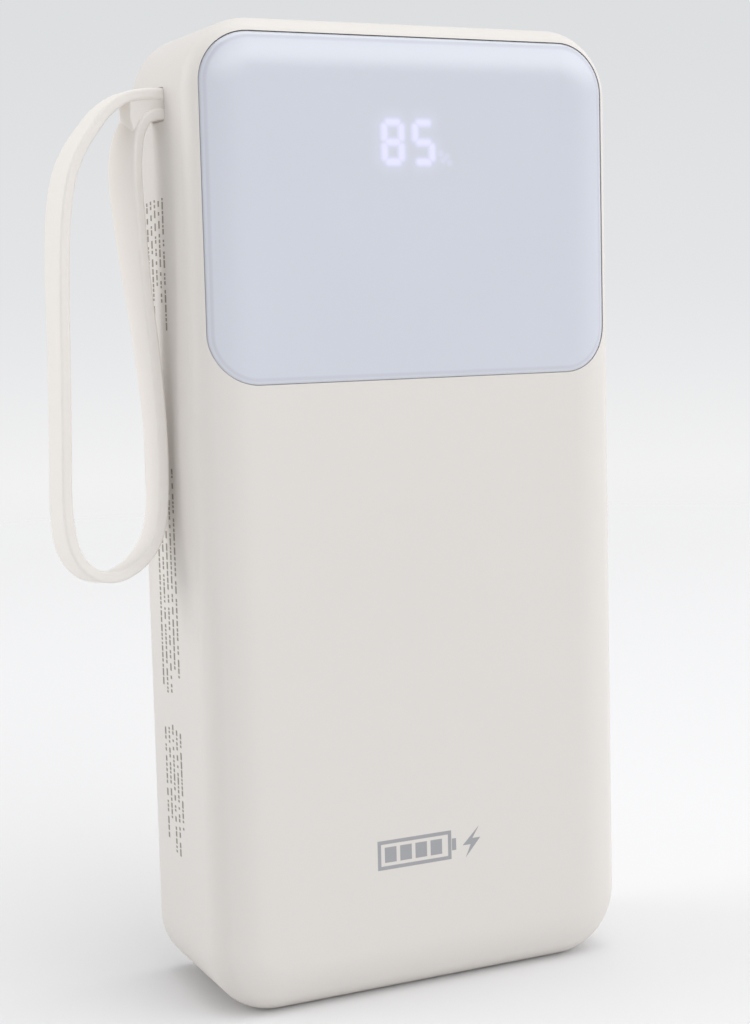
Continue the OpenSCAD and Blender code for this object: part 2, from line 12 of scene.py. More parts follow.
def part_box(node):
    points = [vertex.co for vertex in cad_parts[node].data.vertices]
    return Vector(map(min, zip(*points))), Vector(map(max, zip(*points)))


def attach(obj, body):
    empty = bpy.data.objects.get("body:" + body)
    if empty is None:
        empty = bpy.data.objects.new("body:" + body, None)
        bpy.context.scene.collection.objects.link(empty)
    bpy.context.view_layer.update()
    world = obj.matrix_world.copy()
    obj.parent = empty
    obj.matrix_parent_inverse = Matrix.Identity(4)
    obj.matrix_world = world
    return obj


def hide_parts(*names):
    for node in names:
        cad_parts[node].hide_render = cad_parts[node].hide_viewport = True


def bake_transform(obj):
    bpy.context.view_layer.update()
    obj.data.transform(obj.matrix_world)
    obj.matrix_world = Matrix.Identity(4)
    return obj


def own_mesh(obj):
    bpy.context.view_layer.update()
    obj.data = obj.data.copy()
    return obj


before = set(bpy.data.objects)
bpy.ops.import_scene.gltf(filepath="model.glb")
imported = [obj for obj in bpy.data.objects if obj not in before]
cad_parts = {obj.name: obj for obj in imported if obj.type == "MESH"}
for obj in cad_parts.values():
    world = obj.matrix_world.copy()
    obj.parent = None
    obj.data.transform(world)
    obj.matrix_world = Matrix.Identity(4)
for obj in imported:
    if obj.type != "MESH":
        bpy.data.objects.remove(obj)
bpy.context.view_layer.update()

MM = 0.001

# ---- The body's own measures, in metres; whatever a box can say comes from the frame ----
housing_low, housing_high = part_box("main_housing")
cover_low, cover_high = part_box("back_cover")
lens_low, lens_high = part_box("display_lens")
button_low, button_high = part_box("power_button")

HALF_W = housing_high.x
BODY_H = housing_high.z
HALF_H = BODY_H / 2
FRONT_Y = housing_low.y
SEAM_Y = housing_high.y
BACK_Y = cover_high.y
CORNER_R = 10 * MM
WALL = 2.2 * MM
# The front edge rolls over in two arcs: a soft one up to the angle TURN, then a tight one to the side
SOFT_R = 14 * MM
TIGHT_R = 4 * MM
TURN_SIN = 44 / 125
TURN_COS = 117 / 125
TURN = math.asin(TURN_SIN)
EDGE_RUN = (SOFT_R - TIGHT_R) * TURN_SIN + TIGHT_R
EDGE_DROP = SOFT_R - (SOFT_R - TIGHT_R) * TURN_COS

# ---- Camera ----
CAMERA_AT = Vector((-121.0, -263.0, 103.7)) * MM
CAMERA_TO = Vector((6.4, 0, 72.9)) * MM
CAMERA_ROLL = math.radians(-1.28)
CAMERA_LENS = 67.1
CAMERA_SHIFT = (-0.0433, -0.0189)

# ---- Strap route, from the design: distances from the side and from the port end, in millimetres ----
STRAP_ROUTE = [
    (1, -10), (-1.2, -9.9), (-3.5, -10.1), (-5.3, -10.5), (-6.9, -11.4), (-8.6, -12.8),
    (-10.2, -14.8), (-11.8, -17), (-13.2, -19.6), (-14.2, -22.7), (-14.9, -27), (-15.3, -32.6),
    (-15.5, -39.2), (-15.6, -46.3), (-15.8, -53.4), (-16, -60.5), (-16.2, -66.6), (-16, -70.7),
    (-15.4, -73.7), (-13.9, -76.3), (-11.7, -77.7), (-9, -77.9), (-6.6, -76.9), (-4.5, -75.1),
    (-3, -72.6), (-2.2, -69.1), (-1.9, -63.5), (-2, -56.4), (-2.5, -49.3), (-3.2, -42.2),
    (-4, -35.1), (-4.6, -28), (-5, -21.4), (-4.6, -17), (-3.5, -14.1), (-1.6, -12.7), (1, -12.6),
]
STRAP_Y = 0.0
STRAP_W = 6 * MM
STRAP_T = 1.6 * MM
# Twist of the band along the strap: share of the length, and degrees by which the front edge leans out
STRAP_TWIST = [(0, 0), (0.04, 0), (0.14, -9), (0.28, -4), (0.42, -3), (0.5, -9), (0.58, 0), (0.68, 3),
               (0.8, 9), (0.88, 20), (0.93, 26), (0.97, 12), (1, 0)]
SLOT_Z = BODY_H - 11.3 * MM
SLOT_SIZE = (6.2 * MM, 4.6 * MM)

# ---- Lens and digits ----
LENS_Z = (lens_low.z + lens_high.z) / 2
LENS_HALF = ((lens_high.x - lens_low.x) / 2, (lens_high.z - lens_low.z) / 2)
LENS_R = 7.2 * MM
LENS_SINK = 0.05 * MM
LENS_T = 1 * MM
TAPE_T = 0.25 * MM
LENS_GAP = 0.08 * MM
LENS_PLAY = (-0.02 * MM, 0, 0.03 * MM)
DIGIT_SIZE = (3.7 * MM, 6.5 * MM)
DIGIT_PITCH = 4.85 * MM
DIGITS_AT = (-3.4 * MM, BODY_H - 17.1 * MM)
SEGMENT_W = 0.8 * MM
SEGMENT_DRAWN_IN = (0.12 * MM, 0.08 * MM)
SEGMENT_END = 0.6 * MM
# The segments that are lit in each place, numbered from the top one clockwise, the middle one last
LIT = {0: (0, 1, 2, 3, 4, 5, 6), 1: (0, 2, 3, 5, 6)}
PERCENT_AT = (DIGITS_AT[0] + 1.71 * DIGIT_PITCH, DIGITS_AT[1] - 2.2 * MM)
PERCENT_ARM = 0.65 * MM


# ---------------------------------------------------------------- camera, floor and light
def make_camera():
    """The photograph's viewpoint, with its slight roll and its off-centre framing."""
    forward = (CAMERA_TO - CAMERA_AT).normalized()
    right = forward.cross(Vector((0, 0, 1))).normalized()
    up = right.cross(forward)
    x = math.cos(CAMERA_ROLL) * right + math.sin(CAMERA_ROLL) * up
    y = -math.sin(CAMERA_ROLL) * right + math.cos(CAMERA_ROLL) * up
    data = bpy.data.cameras.new("camera")
    data.lens = CAMERA_LENS
    data.sensor_width = 36
    data.shift_x, data.shift_y = CAMERA_SHIFT
    data.clip_start = 0.01
    camera = bpy.data.objects.new("camera", data)
    rotation = Matrix((x, y, -forward)).transposed().to_4x4()
    camera.matrix_world = Matrix.Translation(CAMERA_AT) @ rotation
    bpy.context.scene.collection.objects.link(camera)
    bpy.context.scene.camera = camera


class Nodes:
    """A short way to write a node tree."""

    def __init__(self, tree):
        self.tree = tree
        tree.nodes.clear()

    def add(self, kind, **settings):
        node = self.tree.nodes.new(kind)
        inputs = settings.pop("inputs", {})
        for key, value in settings.items():
            setattr(node, key, value)
        for key, value in inputs.items():
            self.put(node.inputs[key], value)
        return node

    def put(self, socket, value):
        if isinstance(value, bpy.types.NodeSocket):
            self.tree.links.new(value, socket)
        elif isinstance(value, bpy.types.Node):
            self.tree.links.new(value.outputs[0], socket)
        else:
            socket.default_value = value

    def math(self, operation, a, b=0.0, clamp=False):
        node = self.add("ShaderNodeMath", operation=operation, use_clamp=clamp)
        self.put(node.inputs[0], a)
        self.put(node.inputs[1], b)
        return node.outputs[0]

    def vector(self, operation, a, b=(0, 0, 0)):
        node = self.add("ShaderNodeVectorMath", operation=operation)
        self.put(node.inputs[0], a)
        self.put(node.inputs[1], b)
        return node.outputs["Value" if operation in ("LENGTH", "DOT_PRODUCT") else "Vector"]

    def ramp(self, value, low, high, to_low=0.0, to_high=1.0, smooth=True):
        node = self.add("ShaderNodeMapRange", interpolation_type="SMOOTHSTEP" if smooth else "LINEAR")
        for key, v in zip(("Value", "From Min", "From Max", "To Min", "To Max"),
                          (value, low, high, to_low, to_high)):
            self.put(node.inputs[key], v)
        return node.outputs[0]

    def noise(self, where, scale, detail=2.0, roughness=0.5):
        node = self.add("ShaderNodeTexNoise",
                        inputs={"Vector": where, "Scale": scale, "Detail": detail, "Roughness": roughness})
        return node.outputs["Fac"]

    def mix(self, share, a, b):
        node = self.add("ShaderNodeMix", data_type="RGBA")
        self.put(node.inputs["Factor"], share)
        self.put(node.inputs[6], a)
        self.put(node.inputs[7], b)
        return node.outputs[2]

    def bump(self, height, distance, strength=1.0, normal=None):
        values = {"Height": height, "Distance": distance, "Strength": strength}
        node = self.add("ShaderNodeBump", inputs=values)
        if normal is not None:
            self.put(node.inputs["Normal"], normal)
        return node.outputs[0]


def linear(r, g, b):
    """An sRGB colour in 0..255 as the linear colour that a shader takes."""
    def one(v):
        v /= 255
        return v / 12.92 if v <= 0.04045 else ((v + 0.055) / 1.055) ** 2.4
    return (one(r), one(g), one(b), 1)


SKY_HIGH, SKY_MIDDLE, SKY_LOW = linear(221, 223, 225), linear(228, 229, 231), linear(244, 244, 244)
# The direction of the soft box, to the viewer's right, and of the grey card, up on the left
GLOW_TOWARDS, GLOW_GAIN = (0.45, -0.89, 0), 2.5
CARD_TOWARDS, CARD_LOSS = (-0.69, -0.52, 0.5), 0.6


def make_world():
    """Backdrop: paler below the horizon, with a soft box and a card that only the object reflects."""
    world = bpy.data.worlds.new("studio")
    bpy.context.scene.world = world
    world.use_nodes = True
    n = Nodes(world.node_tree)
    where = n.add("ShaderNodeTexCoord").outputs["Generated"]
    height = n.add("ShaderNodeSeparateXYZ", inputs={0: where}).outputs["Z"]
    high = n.ramp(height, -0.02, 0.15)
    low = n.ramp(height, -0.13, 0.02, 1.0, 0.0)
    colour = n.mix(high, SKY_MIDDLE, SKY_HIGH)
    colour = n.mix(low, colour, SKY_LOW)
    aside = n.vector("DOT_PRODUCT", where, GLOW_TOWARDS)
    band = n.math("MULTIPLY", n.ramp(height, 0.12, 0.44), n.ramp(height, 0.6, 0.85, 1.0, 0.0))
    glow = n.math("MULTIPLY", band, n.ramp(aside, 0.45, 0.9))
    dim = n.ramp(n.vector("DOT_PRODUCT", where, CARD_TOWARDS), 0.5, 0.95, 0.0, CARD_LOSS)
    dim = n.math("MULTIPLY", dim, n.ramp(height, 0.1, 0.3))
    glow = n.math("SUBTRACT", n.math("ADD", n.math("MULTIPLY", glow, GLOW_GAIN), 1.0), dim)
    background = n.add("ShaderNodeBackground", inputs={"Color": colour, "Strength": glow})
    output = n.add("ShaderNodeOutputWorld")
    n.put(output.inputs[0], background)


FLOOR_R = 6.0
FLOOR_SIDES = 96
FADE_FROM, FADE_TO = 0.25, 0.85


def make_floor():
    """Round pale floor that fades into the backdrop away from the object."""
    turns = [2 * math.pi * k / FLOOR_SIDES for k in range(FLOOR_SIDES)]
    ring = [(FLOOR_R * math.cos(turn), FLOOR_R * math.sin(turn), 0) for turn in turns]
    mesh = bpy.data.meshes.new("floor")
    mesh.from_pydata(ring, [], [list(range(FLOOR_SIDES))])
    floor = bpy.data.objects.new("floor", mesh)
    bpy.context.scene.collection.objects.link(floor)
    made = bpy.data.materials.new("floor")
    made.use_nodes = True
    n = Nodes(made.node_tree)
    away = n.vector("LENGTH", n.add("ShaderNodeTexCoord").outputs["Object"])
    fade = n.ramp(away, FADE_FROM, FADE_TO)
    paper = n.add("ShaderNodeBsdfDiffuse", inputs={"Color": linear(227, 226, 226)})
    clear = n.add("ShaderNodeBsdfTransparent")
    both = n.add("ShaderNodeMixShader", inputs={0: fade, 1: paper.outputs[0], 2: clear.outputs[0]})
    output = n.add("ShaderNodeOutputMaterial")
    n.put(output.inputs[0], both)
    mesh.materials.append(made)


def area_light(name, at, to, size, power, glossy=True):
    """A rectangular lamp at one place that faces another; glossy says whether reflections show it."""
    data = bpy.data.lights.new(name, "AREA")
    data.shape = "RECTANGLE"
    data.size, data.size_y = size
    data.energy = power
    light = bpy.data.objects.new(name, data)
    light.location = at
    light.rotation_euler = (Vector(to) - Vector(at)).to_track_quat("-Z", "Y").to_euler()
    light.visible_glossy = glossy
    bpy.context.scene.collection.objects.link(light)


def make_lights():
    """A large lamp overhead and one on each side, the left one a little behind the object."""
    middle = (0, 0, 0.07)
    area_light("top", (0.1, -0.15, 1.1), middle, (1.1, 1.0), 4.9)
    area_light("right", (1.1, -0.1, 0.35), middle, (0.6, 0.8), 2.6, glossy=False)
    area_light("left", (-1.0, 0.45, 0.4), middle, (0.7, 0.9), 4.6)


# ---------------------------------------------------------------- materials
def material(name, roughness, metallic=0.0, **inputs):
    """A new material and its node helper, with a Principled shader in place."""
    made = bpy.data.materials.new(name)
    made.use_nodes = True
    n = Nodes(made.node_tree)
    values = {"Roughness": roughness, "Metallic": metallic}
    values.update(inputs)
    shader = n.add("ShaderNodeBsdfPrincipled", inputs=values)
    output = n.add("ShaderNodeOutputMaterial")
    n.put(output.inputs[0], shader)
    where = n.add("ShaderNodeTexCoord").outputs["Object"]
    return made, n, shader, where


def darker(colour, share):
    """The colour with its brightness cut to a share."""
    return tuple(c * share for c in colour[:3]) + (1,)


def moulded(name, colour, roughness=0.5, grain=0.012, scale=2600, shade=0.97, **inputs):
    """Moulded plastic or rubber: fine spark-eroded grain, and colour that varies a little over the part."""
    made, n, shader, where = material(name, roughness, **inputs)
    broad = n.noise(where, 22, 3)
    n.put(shader.inputs["Base Color"], n.mix(broad, darker(colour, shade), colour))
    fine = n.noise(where, scale, 3, 0.6)
    n.put(shader.inputs["Roughness"], n.ramp(fine, 0.2, 0.8, roughness - 0.06, roughness + 0.06))
    n.put(shader.inputs["Normal"], n.bump(fine, grain * MM, 0.6))
    return made


def metal(name, colour, roughness=0.3, along=(1, 1, 12), streak=0.004):
    """Drawn or brushed metal: fine lines along one axis, and faint smudges."""
    made, n, shader, where = material(name, roughness, 1.0)
    lines = n.noise(n.vector("MULTIPLY", where, along), 1500, 2)
    smudge = n.noise(where, 160, 3)
    n.put(shader.inputs["Base Color"], n.mix(smudge, darker(colour, 0.82), colour))
    n.put(shader.inputs["Roughness"], n.ramp(lines, 0.3, 0.7, roughness - 0.08, roughness + 0.1))
    n.put(shader.inputs["Normal"], n.bump(lines, streak * MM, 0.5))
    return made


def circuit_board(name):
    """Green solder mask over copper: tracks show as slightly raised, lighter lines."""
    made, n, shader, where = material(name, 0.35)
    flat = n.vector("MULTIPLY", where, (1, 0, 1))
    tracks = n.add("ShaderNodeTexBrick", offset=0.35,
                   inputs={"Vector": flat, "Scale": 420, "Mortar Size": 0.09})
    weave = n.noise(where, 900, 2)
    mask = n.mix(tracks.outputs["Fac"], linear(22, 88, 52), linear(44, 128, 76))
    n.put(shader.inputs["Base Color"], n.mix(n.math("MULTIPLY", weave, 0.3), mask, linear(14, 60, 36)))
    n.put(shader.inputs["Normal"], n.bump(tracks.outputs["Fac"], 0.03 * MM, 0.8))
    return made


def foil(name):
    """Laminated pouch foil: satin metal with soft dents and wrinkles, and painted shade that darkens it
    where the dents sink.
    """
    made, n, shader, where = material(name, 0.36, 0.85)
    dents = n.noise(where, 70, 4, 0.55)
    # Painted shade: the foil's colour is darker where the dents are low
    n.put(shader.inputs["Base Color"], n.mix(dents, linear(168, 171, 176), linear(206, 208, 211)))
    n.put(shader.inputs["Normal"], n.bump(dents, 0.6 * MM, 0.5))
    return made


def foam(name, colour, scale=1100):
    """Closed-cell foam or paper: small cells in relief, with painted shade that darkens each cell's sunken
    middle.
    """
    made, n, shader, where = material(name, 0.85)
    cells = n.add("ShaderNodeTexVoronoi", inputs={"Vector": where, "Scale": scale})
    depth = n.ramp(cells.outputs["Distance"], 0, 0.8)
    # Painted shade: the colour falls to six tenths towards each cell's middle, where the bump sinks
    n.put(shader.inputs["Base Color"], n.mix(depth, darker(colour, 0.6), colour))
    n.put(shader.inputs["Normal"], n.bump(cells.outputs["Distance"], 0.15 * MM, 0.6))
    return made


def segment_places():
    """Middle and half length of each lit bar, as (x, z, half along x, half along z)."""
    w = (DIGIT_SIZE[0] - SEGMENT_W) / 2 - SEGMENT_DRAWN_IN[0]
    h = (DIGIT_SIZE[1] - SEGMENT_W) / 2 - SEGMENT_DRAWN_IN[1]
    flat, tall = w - SEGMENT_END, h / 2 - SEGMENT_END
    shapes = [(0, h, flat, 0), (w, h / 2, 0, tall), (w, -h / 2, 0, tall), (0, -h, flat, 0),
              (-w, -h / 2, 0, tall), (-w, h / 2, 0, tall), (0, 0, flat, 0)]
    found = []
    for place, chosen in LIT.items():
        for k in chosen:
            x, z, half_x, half_z = shapes[k]
            found.append((DIGITS_AT[0] + place * DIGIT_PITCH + x, DIGITS_AT[1] + z, half_x, half_z))
    return found


def percent_places():
    """Middle and half length of the percent sign's parts: two dots, and three more that make its bar."""
    x, z = PERCENT_AT
    arm, short = PERCENT_ARM, PERCENT_ARM - 0.35 * MM
    return [(x - arm, z + arm, 0, 0), (x + arm, z - arm, 0, 0),
            (x + short, z + short, 0, 0), (x - short, z - short, 0, 0), (x, z, 0, 0)]


BAR_BLEND = 0.12 * MM


def nearest_bar(n, flat, places):
    """Distance from the point to the nearest of the bars."""
    nearest = None
    for x, z, half_x, half_z in places:
        off = n.vector("ABSOLUTE", n.vector("SUBTRACT", flat, (x, 0, z)))
        off = n.vector("MAXIMUM", n.vector("SUBTRACT", off, (half_x, 0, half_z)))
        away = n.vector("LENGTH", off)
        nearest = away if nearest is None else n.math("SMOOTH_MIN", nearest, away)
        if nearest is not away:
            nearest.node.inputs[2].default_value = BAR_BLEND
    return nearest


def edge_ring(n, flat):
    """How much of the tape ring shows at a point of the window: a narrow band just inside its outline."""
    corner = (LENS_HALF[0] - LENS_R, 0, LENS_HALF[1] - LENS_R)
    off = n.vector("ABSOLUTE", n.vector("SUBTRACT", flat, (0, 0, LENS_Z)))
    off = n.vector("SUBTRACT", off, corner)
    outside = n.vector("LENGTH", n.vector("MAXIMUM", off, (0, -1, 0)))
    parts = n.add("ShaderNodeSeparateXYZ", inputs={0: off})
    inside = n.math("MINIMUM", n.math("MAXIMUM", parts.outputs[0], parts.outputs[2]), 0.0)
    depth = n.math("SUBTRACT", LENS_R, n.math("ADD", outside, inside))
    starts = n.ramp(depth, 0.4 * MM, 0.6 * MM)
    ends = n.ramp(depth, 0.75 * MM, 1.1 * MM, 0.6, 0.0)
    return n.math("MULTIPLY", starts, ends)


def milky_lens(name):
    """Milky gloss window. The lit digits behind it show through as soft lavender light."""
    made, n, shader, where = material(name, 0.22)
    shader.inputs["Coat Weight"].default_value = 0.8
    shader.inputs["Coat Roughness"].default_value = 0.05
    flat = n.vector("MULTIPLY", where, (1, 0, 1))
    cloud = n.noise(where, 30, 2)
    milky = n.mix(cloud, linear(199, 202, 211), linear(204, 207, 216))
    n.put(shader.inputs["Base Color"], n.mix(edge_ring(n, flat), milky, linear(189, 190, 200)))
    bars = nearest_bar(n, flat, segment_places())
    core = n.ramp(bars, 0.1 * MM, 0.95 * MM, 1.0, 0.0)
    halo = n.ramp(bars, 0.3 * MM, 2.8 * MM, 0.2, 0.0)
    sign = nearest_bar(n, flat, percent_places())
    faint = n.ramp(sign, 0.1 * MM, 0.8 * MM, 0.3, 0.0)
    light = n.math("ADD", n.math("ADD", core, halo), faint)
    n.put(shader.inputs["Emission Color"], linear(196, 184, 255))
    n.put(shader.inputs["Emission Strength"], n.math("MULTIPLY", light, 0.3))
    fine = n.noise(where, 900, 2)
    n.put(shader.inputs["Normal"], n.bump(fine, 0.002 * MM, 0.4))
    return made


CREAM = linear(219, 214, 209)
STRAP_CREAM = linear(214, 209, 204)
# Painted glow: the band gives off a little light of its own, a stand-in for the light that thin silicone
# passes, so its shaded side reads lighter
STRAP_PAINTED_GLOW = {"Emission Color": linear(255, 250, 244), "Emission Strength": 0.12}
LIT_RESIN = {"Emission Color": linear(214, 204, 255), "Emission Strength": 1.6}
looks = {
    "shell": moulded("shell", CREAM, 0.46),
    "button": moulded("button", CREAM, 0.36, grain=0.006),
    # The strap's look carries the painted glow, and the strap anchor shares it
    "strap": moulded("strap", STRAP_CREAM, 0.5, grain=0.005, shade=0.985, **STRAP_PAINTED_GLOW),
    "lens": milky_lens("lens"),
    "print_grey": moulded("print_grey", linear(160, 160, 163), 0.55, shade=0.95),
    "print_fine": moulded("print_fine", linear(139, 134, 122), 0.6, shade=0.9),
    "steel": metal("steel", linear(205, 207, 210), 0.26),
    "zinc": metal("zinc", linear(190, 193, 197), 0.34, along=(12, 1, 1)),
    "gold": metal("gold", linear(222, 186, 110), 0.24),
    "nickel": metal("nickel", linear(196, 193, 184), 0.38, along=(12, 12, 1)),
    "tin": metal("tin", linear(214, 212, 206), 0.42),
    "can": metal("can", linear(204, 206, 210), 0.3, along=(1, 12, 1)),
    "port_black": moulded("port_black", linear(34, 35, 38), 0.38, shade=0.8),
    "switch_black": moulded("switch_black", linear(38, 39, 42), 0.42, shade=0.8),
    "ivory": moulded("ivory", linear(222, 216, 200), 0.4),
    "ferrite": moulded("ferrite", linear(62, 63, 68), 0.62, grain=0.05, scale=1200, shade=0.7),
    "epoxy": moulded("epoxy", linear(36, 37, 40), 0.5, grain=0.02, shade=0.75),
    "board": circuit_board("board"),
    "pouch": foil("pouch"),
    "foam_dark": foam("foam_dark", linear(66, 67, 72)),
    "foam_tape": foam("foam_tape", linear(36, 37, 40), 1800),
    "tape_cream": foam("tape_cream", linear(228, 222, 204), 2200),
    "paper": foam("paper", linear(226, 212, 166), 2600),
    "film": moulded("film", linear(240, 241, 244), 0.6),
    "reflector": moulded("reflector", linear(242, 242, 244), 0.35),
    "unlit": moulded("unlit", linear(190, 190, 200), 0.2),
    "phosphor": moulded("phosphor", linear(240, 226, 120), 0.4),
    "red_sleeve": moulded("red_sleeve", linear(178, 28, 30), 0.42, shade=0.85),
    "black_sleeve": moulded("black_sleeve", linear(30, 31, 34), 0.42, shade=0.8),
    "bead": moulded("bead", linear(52, 56, 64), 0.3, shade=0.8),
    "lit_resin": moulded("lit_resin", linear(232, 226, 255), 0.2, **LIT_RESIN),
}

CAD_LOOKS = {
    "lens_tape": "foam_tape", "diffuser_film": "film", "display_frame": "reflector",
    "lit_segments": "lit_resin", "dark_segments": "unlit", "percent_icon": "lit_resin",
    "segment_leds": "phosphor", "display_board": "board", "display_header": "tin",
    "main_board": "board", "board_screws": "zinc", "usb_c_shell": "steel",
    "usb_c_insulator": "port_black", "usb_c_riser": "port_black", "usb_a_shell_1": "steel",
    "usb_a_insulator_1": "port_black", "usb_a_shell_2": "steel", "usb_a_insulator_2": "port_black",
    "usb_a_contacts": "gold", "switch_body": "switch_black", "switch_plunger": "ivory",
    "switch_dome": "steel", "inductors": "ferrite", "capacitors": "can", "control_chips": "epoxy",
    "front_cell": "pouch", "back_cell": "pouch", "cell_tape": "tape_cream", "front_pad": "foam_dark",
    "back_foam": "foam_dark", "bottom_foam": "foam_dark", "insulating_sheet": "paper",
    "cell_tabs": "nickel", "positive_lead": "red_sleeve", "negative_lead": "black_sleeve",
    "thermistor": "bead", "strap_anchor": "strap", "strap_pin": "zinc",
}


def dress_cad_nodes():
    """Gives each CAD node that is shown as it is its material."""
    for node, look in CAD_LOOKS.items():
        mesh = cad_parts[node].data
        mesh.materials.clear()
        mesh.materials.append(looks[look])


# ---------------------------------------------------------------- mesh helpers
def new_piece(name, points, faces, look):
    """A mesh object from points and faces, in one of the looks."""
    mesh = bpy.data.meshes.new(name)
    mesh.from_pydata([tuple(map(float, p)) for p in points], [], faces)
    mesh.materials.append(looks[look])
    mesh.validate()
    piece = bpy.data.objects.new(name, mesh)
    bpy.context.scene.collection.objects.link(piece)
    return piece


def rounded_ring(half_a, half_b, r, corner=16, straight=10):
    """Points round a rounded rectangle, anticlockwise, the same number whatever its size."""
    r = max(r, 1e-6)
    a, b = half_a - r, half_b - r
    arcs = []
    for k, middle in enumerate([(a, b), (-a, b), (-a, -b), (a, -b)]):
        turn = np.linspace(k * math.pi / 2, (k + 1) * math.pi / 2, corner + 1)
        arcs.append(np.stack([middle[0] + r * np.cos(turn), middle[1] + r * np.sin(turn)], 1))
    share = np.linspace(0, 1, straight + 1)[1:-1, None]
    points = []
    for k in range(4):
        points.append(arcs[k])
        points.append(arcs[k][-1] * (1 - share) + arcs[(k + 1) % 4][0] * share)
    return np.concatenate(points)


def loft(rings):
    """Points and faces of a closed skin over rings that all have the same number of points."""
    count = len(rings[0])
    faces = []
    for k in range(len(rings) - 1):
        a, b = k * count, (k + 1) * count
        for j in range(count):
            i = (j + 1) % count
            faces.append((a + j, a + i, b + i, b + j))
    faces.append(tuple(range(count - 1, -1, -1)))
    faces.append(tuple((len(rings) - 1) * count + j for j in range(count)))
    return np.concatenate(rings), faces


def face_out(piece):
    """Turns every face of a closed mesh to look outwards."""
    work = bmesh.new()
    work.from_mesh(piece.data)
    bmesh.ops.recalc_face_normals(work, faces=work.faces)
    if work.calc_volume(signed=True) < 0:
        bmesh.ops.reverse_faces(work, faces=work.faces)
    work.to_mesh(piece.data)
    work.free()


def combine(piece, other, operation):
    """Adds a boolean of the piece with the other one, which has to face outwards."""
    face_out(other)
    modifier = piece.modifiers.new(operation.lower(), "BOOLEAN")
    modifier.operation = operation
    modifier.solver = "EXACT"
    modifier.object = other


def cut(piece, *cutters):
    """Takes the cutters' volume out of the piece."""
    for cutter in cutters:
        combine(piece, cutter, "DIFFERENCE")
    bake(piece)
    for cutter in cutters:
        bpy.data.objects.remove(cutter)


def join(piece, other):
    """Makes one solid of the piece and the other one."""
    combine(piece, other, "UNION")
    bake(piece)
    bpy.data.objects.remove(other)


def bake(piece):
    """Applies the piece's modifiers."""
    bpy.context.view_layer.update()
    graph = bpy.context.evaluated_depsgraph_get()
    result = bpy.data.meshes.new_from_object(piece.evaluated_get(graph))
    result.name = piece.name
    piece.modifiers.clear()
    piece.data = result


def read(items, field, width):
    """One field of every item of a mesh, as an array."""
    values = np.zeros(len(items) * width)
    items.foreach_get(field, values)
    return values.reshape(-1, width)


def smooth(piece, angle=35.0, surface=None):
    """Shades the piece smooth, with sharp folds over the angle. Where a face lies on the surface that is
    given as a function of points, its corners take that surface's true normals."""
    mesh = piece.data
    mesh.polygons.foreach_set("use_smooth", [True] * len(mesh.polygons))
    normals = read(mesh.polygons, "normal", 3)
    weights = np.sqrt(read(mesh.polygons, "area", 1))
    points = read(mesh.vertices, "co", 3)
    on_surface = np.zeros(len(mesh.polygons), bool)
    if surface is not None:
        off, true_normals = surface(read(mesh.polygons, "center", 3))
        on_surface = (np.abs(off) < 0.02 * MM) & ((normals * true_normals).sum(1) > 0.97)
        _, point_normals = surface(points)
    around = [[] for _ in range(len(points))]
    for polygon in mesh.polygons:
        for v in polygon.vertices:
            around[v].append(polygon.index)
    limit = math.cos(math.radians(angle))
    corners = np.zeros((len(mesh.loops), 3))
    for polygon in mesh.polygons:
        f = polygon.index
        for loop in polygon.loop_indices:
            v = mesh.loops[loop].vertex_index
            if on_surface[f]:
                corners[loop] = point_normals[v]
                continue
            near = [g for g in around[v] if normals[g] @ normals[f] > limit]
            total = (normals[near] * weights[near]).sum(0)
            corners[loop] = total / max(np.linalg.norm(total), 1e-12)
    mesh.normals_split_custom_set([tuple(c) for c in corners])


def finish_piece(piece, body, slot, *replaced):
    """Says which body the piece rides on and hides the CAD nodes it stands for. The slot is not used."""
    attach(piece, body)
    if replaced:
        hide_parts(*replaced)
    return piece


# ---------------------------------------------------------------- the body's surface
def edge_profile(inset=0.0, steps=14):
    """Points of the front edge's rounding, as (distance in from the outline, depth behind the front)."""
    found = []
    for a in np.linspace(0, TURN, steps):
        r = SOFT_R - inset
        found.append((EDGE_RUN - inset - r * math.sin(a), r - r * math.cos(a)))
    r = TIGHT_R - inset
    drop = EDGE_DROP - inset
    for a in np.linspace(TURN, math.pi / 2, steps)[1:]:
        found.append((r - r * math.sin(a), drop - r * math.cos(a)))
    return found


def body_ring(inset, y, corner=16, straight=10):
    """Ring round the body, drawn in by inset, at depth y."""
    flat = rounded_ring(HALF_W - inset, HALF_H - inset, CORNER_R - inset, corner, straight)
    return np.stack([flat[:, 0], np.full(len(flat), y), flat[:, 1] + HALF_H], 1)


def outline_distance(x, z):
    """Distance in from the body's outline, and the outward direction there."""
    px, pz = np.abs(x), np.abs(z - HALF_H)
    sx, sz = np.where(x < 0, -1.0, 1.0), np.where(z < HALF_H, -1.0, 1.0)
    qx, qz = px - (HALF_W - CORNER_R), pz - (HALF_H - CORNER_R)
    reach = np.maximum(np.hypot(qx, qz), 1e-12)
    corner = (qx > 0) & (qz > 0)
    side = HALF_W - px < HALF_H - pz
    d = np.where(corner, CORNER_R - reach, np.where(side, HALF_W - px, HALF_H - pz))
    gx = np.where(corner, sx * qx / reach, np.where(side, sx, 0.0))
    gz = np.where(corner, sz * qz / reach, np.where(side, 0.0, sz))
    return d, gx, gz


